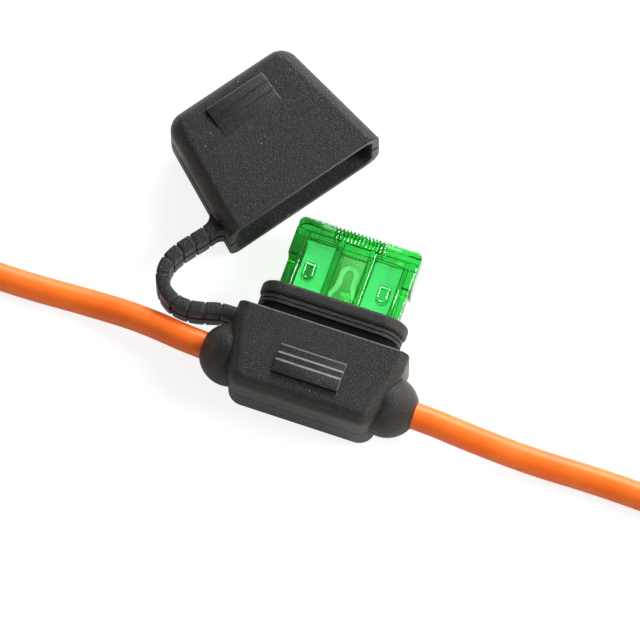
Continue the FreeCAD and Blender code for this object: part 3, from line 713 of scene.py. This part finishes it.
# Tether strap. It is one with the housing and the cap, notched on both sides so that it bends
# without a crease, and it lies in a loop. It is made straight and then bent onto its line.
STRAP_WIDTH = 2.0 * MM
STRAP_CORE = 1.6 * MM
STRAP_HEIGHT = 4.8 * MM
STRAP_CORE_HEIGHT = 4.72 * MM
STRAP_BLOCKS = 11
STRAP_LOWER_BLOCKS = 8
STRAP_NOTCH = 0.22 * MM
STRAP_BEVEL = 0.14 * MM
STRAP_FLARE = 1.6 * MM
STRAP_FLARE_WIDTH = 3.9 * MM
# Points of the strap's centre line in millimetres, from the housing to the cap.
STRAP_LINE = (
    (-13.32, 5.65), (-16.0, 5.5), (-18.3, 4.85), (-20.45, 4.5), (-22.5, 4.75), (-24.1, 5.55),
    (-25.25, 6.9), (-25.75, 8.6), (-25.55, 10.5), (-24.7, 12.35), (-23.4, 14.2), (-21.95, 16.1),
    (-20.6, 18.4),
)


def strap_curve():
    """Centre line of the strap at its mid height."""
    curve = bpy.data.curves.new("strap_line", "CURVE")
    curve.dimensions = "3D"
    curve.twist_mode = "Z_UP"
    curve.resolution_u = 12
    spline = curve.splines.new("BEZIER")
    spline.bezier_points.add(len(STRAP_LINE) - 1)
    for point, (x, y) in zip(spline.bezier_points, STRAP_LINE):
        point.co = Vector((x * MM, y * MM, PARTING_Z))
        point.handle_left_type = "AUTO"
        point.handle_right_type = "AUTO"
    line = bpy.data.objects.new("strap_line", curve)
    scene.collection.objects.link(line)
    return line


def line_points(line):
    """Points of a curve object, in order."""
    mesh = bpy.data.meshes.new_from_object(line)
    points = [vertex.co.copy() for vertex in mesh.vertices]
    bpy.data.meshes.remove(mesh)
    return points


def strap_bar(name, x0, x1, width, height, cuts):
    """Rounded bar along X, with cuts across it so that it can bend."""
    deselect_all()
    bpy.ops.mesh.primitive_cube_add(size=1, location=((x0 + x1) / 2, 0, 0))
    bar = bpy.context.object
    bar.name = name
    bar.scale = (x1 - x0, width, height)
    bpy.ops.object.transform_apply(location=True, scale=True)
    bpy.ops.object.mode_set(mode="EDIT")
    bpy.ops.mesh.select_all(action="SELECT")
    bpy.ops.mesh.bevel(offset=STRAP_BEVEL, segments=2, affect="EDGES")
    for cut in range(1, cuts + 1):
        bpy.ops.mesh.select_all(action="SELECT")
        spot = x0 + (x1 - x0) * cut / (cuts + 1)
        bpy.ops.mesh.bisect(plane_co=(spot, 0, 0), plane_no=(1, 0, 0))
    bpy.ops.object.mode_set(mode="OBJECT")
    return bar


def strap_half(name, first, last, length, line):
    """The blocks from first up to last, on their core, bent onto the line."""
    pitch = length / STRAP_BLOCKS
    bars = [strap_bar(name, first * pitch, last * pitch, STRAP_CORE, STRAP_CORE_HEIGHT,
                      4 * (last - first))]
    for block in range(first, last):
        x0 = block * pitch + (STRAP_NOTCH / 2 if block > 0 else 0)
        x1 = (block + 1) * pitch - (STRAP_NOTCH / 2 if block < STRAP_BLOCKS - 1 else 0)
        bars.append(strap_bar("block", x0, x1, STRAP_WIDTH, STRAP_HEIGHT, 9))
    deselect_all()
    for bar in bars:
        bar.select_set(True)
    half = bars[0]
    bpy.context.view_layer.objects.active = half
    bpy.ops.object.join()
    for vertex in half.data.vertices:
        flared = max(0.0, 1 - (length - vertex.co.x) / STRAP_FLARE)
        vertex.co.y *= 1 + flared ** 2 * (STRAP_FLARE_WIDTH / STRAP_WIDTH - 1)
    bend = half.modifiers.new("bend", "CURVE")
    bend.object = line
    bend.deform_axis = "POS_X"
    bpy.ops.object.modifier_apply(modifier=bend.name)
    bpy.ops.object.shade_smooth_by_angle(angle=math.radians(40))
    half.data.materials.append(moulding_material)
    return half


strap_line = strap_curve()
strap_points = line_points(strap_line)
strap_length = sum((b - a).length for a, b in zip(strap_points, strap_points[1:]))
lower_strap = strap_half("strap_lower", 0, STRAP_LOWER_BLOCKS, strap_length, strap_line)
upper_strap = strap_half("strap_upper", STRAP_LOWER_BLOCKS, STRAP_BLOCKS, strap_length, strap_line)
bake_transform(lower_strap)
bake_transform(upper_strap)
for half in (lower_strap, upper_strap):
    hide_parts("tether_strap")
bpy.data.objects.remove(strap_line)


# Cap. It is a hollow trapezoid of the same moulding, with a broad radius all round, a grip pad
# on its face and a thin rim at its mouth. It lies open beside the fuse.
CAP_RIM_BEVEL = 0.2 * MM
CAP_FACE_Z = 10.25 * MM
CAP_TURN = math.radians(54.8)
CAP_REST = Vector((-10.1, 27.3, 0.0)) * MM
CAP_ALONG = Vector((-math.sin(CAP_TURN), math.cos(CAP_TURN), 0.0))

cap = merged_copy("cap_moulding", "cap")
round_edges(cap, CAP_RIM_BEVEL, lambda co: (co - CAP_REST).dot(CAP_ALONG) < 0.01 * MM)
round_edges(cap, PAD_BEVEL, lambda co: co.z > CAP_FACE_Z + 0.01 * MM, painted_highlight=True)
shade_smooth(cap)
cap.data.materials.append(moulding_material)
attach(cap, "cap")
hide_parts("cap")


# Table and light. A white table with a soft shadow, a lamp at the right, a larger one behind,
# and an even pale surround that is brightest overhead.
TABLE_HALF = 2.0
TABLE_GLOW = 0.86
TABLE_GLOW_REFLECTED = 0.16
TABLE_COLOUR = (0.8, 0.8, 0.8, 1.0)
TABLE_COLOUR_SEEN = (0.24, 0.24, 0.24, 1.0)
ZENITH = 0.30
HORIZON = 0.22
HORIZON_ENDS = 0.2
ZENITH_STARTS = 0.85
# Name, azimuth, elevation, distance in metres, side in metres and power in watts.
LAMPS = (
    ("right", math.radians(104), math.radians(38), 1.4, 0.53, 20.5),
    ("back", math.radians(178), math.radians(26), 1.4, 0.78, 26.0),
)


def table_white():
    """White to the eye and in reflections, while the object's shadow stays."""
    material = bpy.data.materials.new("table")
    material.use_nodes = True
    tree = material.node_tree
    tree.nodes.clear()
    path = add_node(tree, "ShaderNodeLightPath")
    matt = add_node(tree, "ShaderNodeBsdfDiffuse")
    fill(tree, matt, Color=mixed(tree, path.outputs["Is Camera Ray"], TABLE_COLOUR,
                                 TABLE_COLOUR_SEEN))
    glow = add_node(tree, "ShaderNodeEmission")
    reflected = maths(tree, "SUBTRACT", path.outputs["Is Glossy Ray"],
                      path.outputs["Is Transmission Ray"], clamp=True)
    fill(tree, glow, Strength=maths(
        tree, "MULTIPLY_ADD", path.outputs["Is Camera Ray"], TABLE_GLOW,
        maths(tree, "MULTIPLY", reflected, TABLE_GLOW_REFLECTED)))
    both = add_node(tree, "ShaderNodeAddShader")
    tree.links.new(matt.outputs[0], both.inputs[0])
    tree.links.new(glow.outputs[0], both.inputs[1])
    output = add_node(tree, "ShaderNodeOutputMaterial")
    tree.links.new(both.outputs[0], output.inputs["Surface"])
    return material


deselect_all()
bpy.ops.mesh.primitive_plane_add(size=2 * TABLE_HALF)
table = bpy.context.object
table.name = "table"
table.data.materials.append(table_white())
for name, azimuth, elevation, distance, size, power in LAMPS:
    lamp_data = bpy.data.lights.new(name, "AREA")
    lamp_data.size = size
    lamp_data.energy = power
    lamp = bpy.data.objects.new(name, lamp_data)
    scene.collection.objects.link(lamp)
    lamp.location = TARGET + towards(azimuth, elevation) * distance
    lamp.rotation_mode = "QUATERNION"
    lamp.rotation_quaternion = (-towards(azimuth, elevation)).to_track_quat("-Z", "Y")
world = bpy.data.worlds.new("surround")
world.use_nodes = True
sky_tree = world.node_tree
direction = add_node(sky_tree, "ShaderNodeSeparateXYZ")
fill(sky_tree, direction, Vector=add_node(sky_tree, "ShaderNodeTexCoord").outputs["Generated"])
height = add_node(sky_tree, "ShaderNodeMapRange")
fill(sky_tree, height, Value=direction.outputs["Z"], From_Min=HORIZON_ENDS,
     From_Max=ZENITH_STARTS, To_Min=HORIZON, To_Max=ZENITH)
fill(sky_tree, sky_tree.nodes["Background"], Strength=height.outputs["Result"],
     Color=(1.0, 1.0, 1.0, 1.0))
scene.world = world
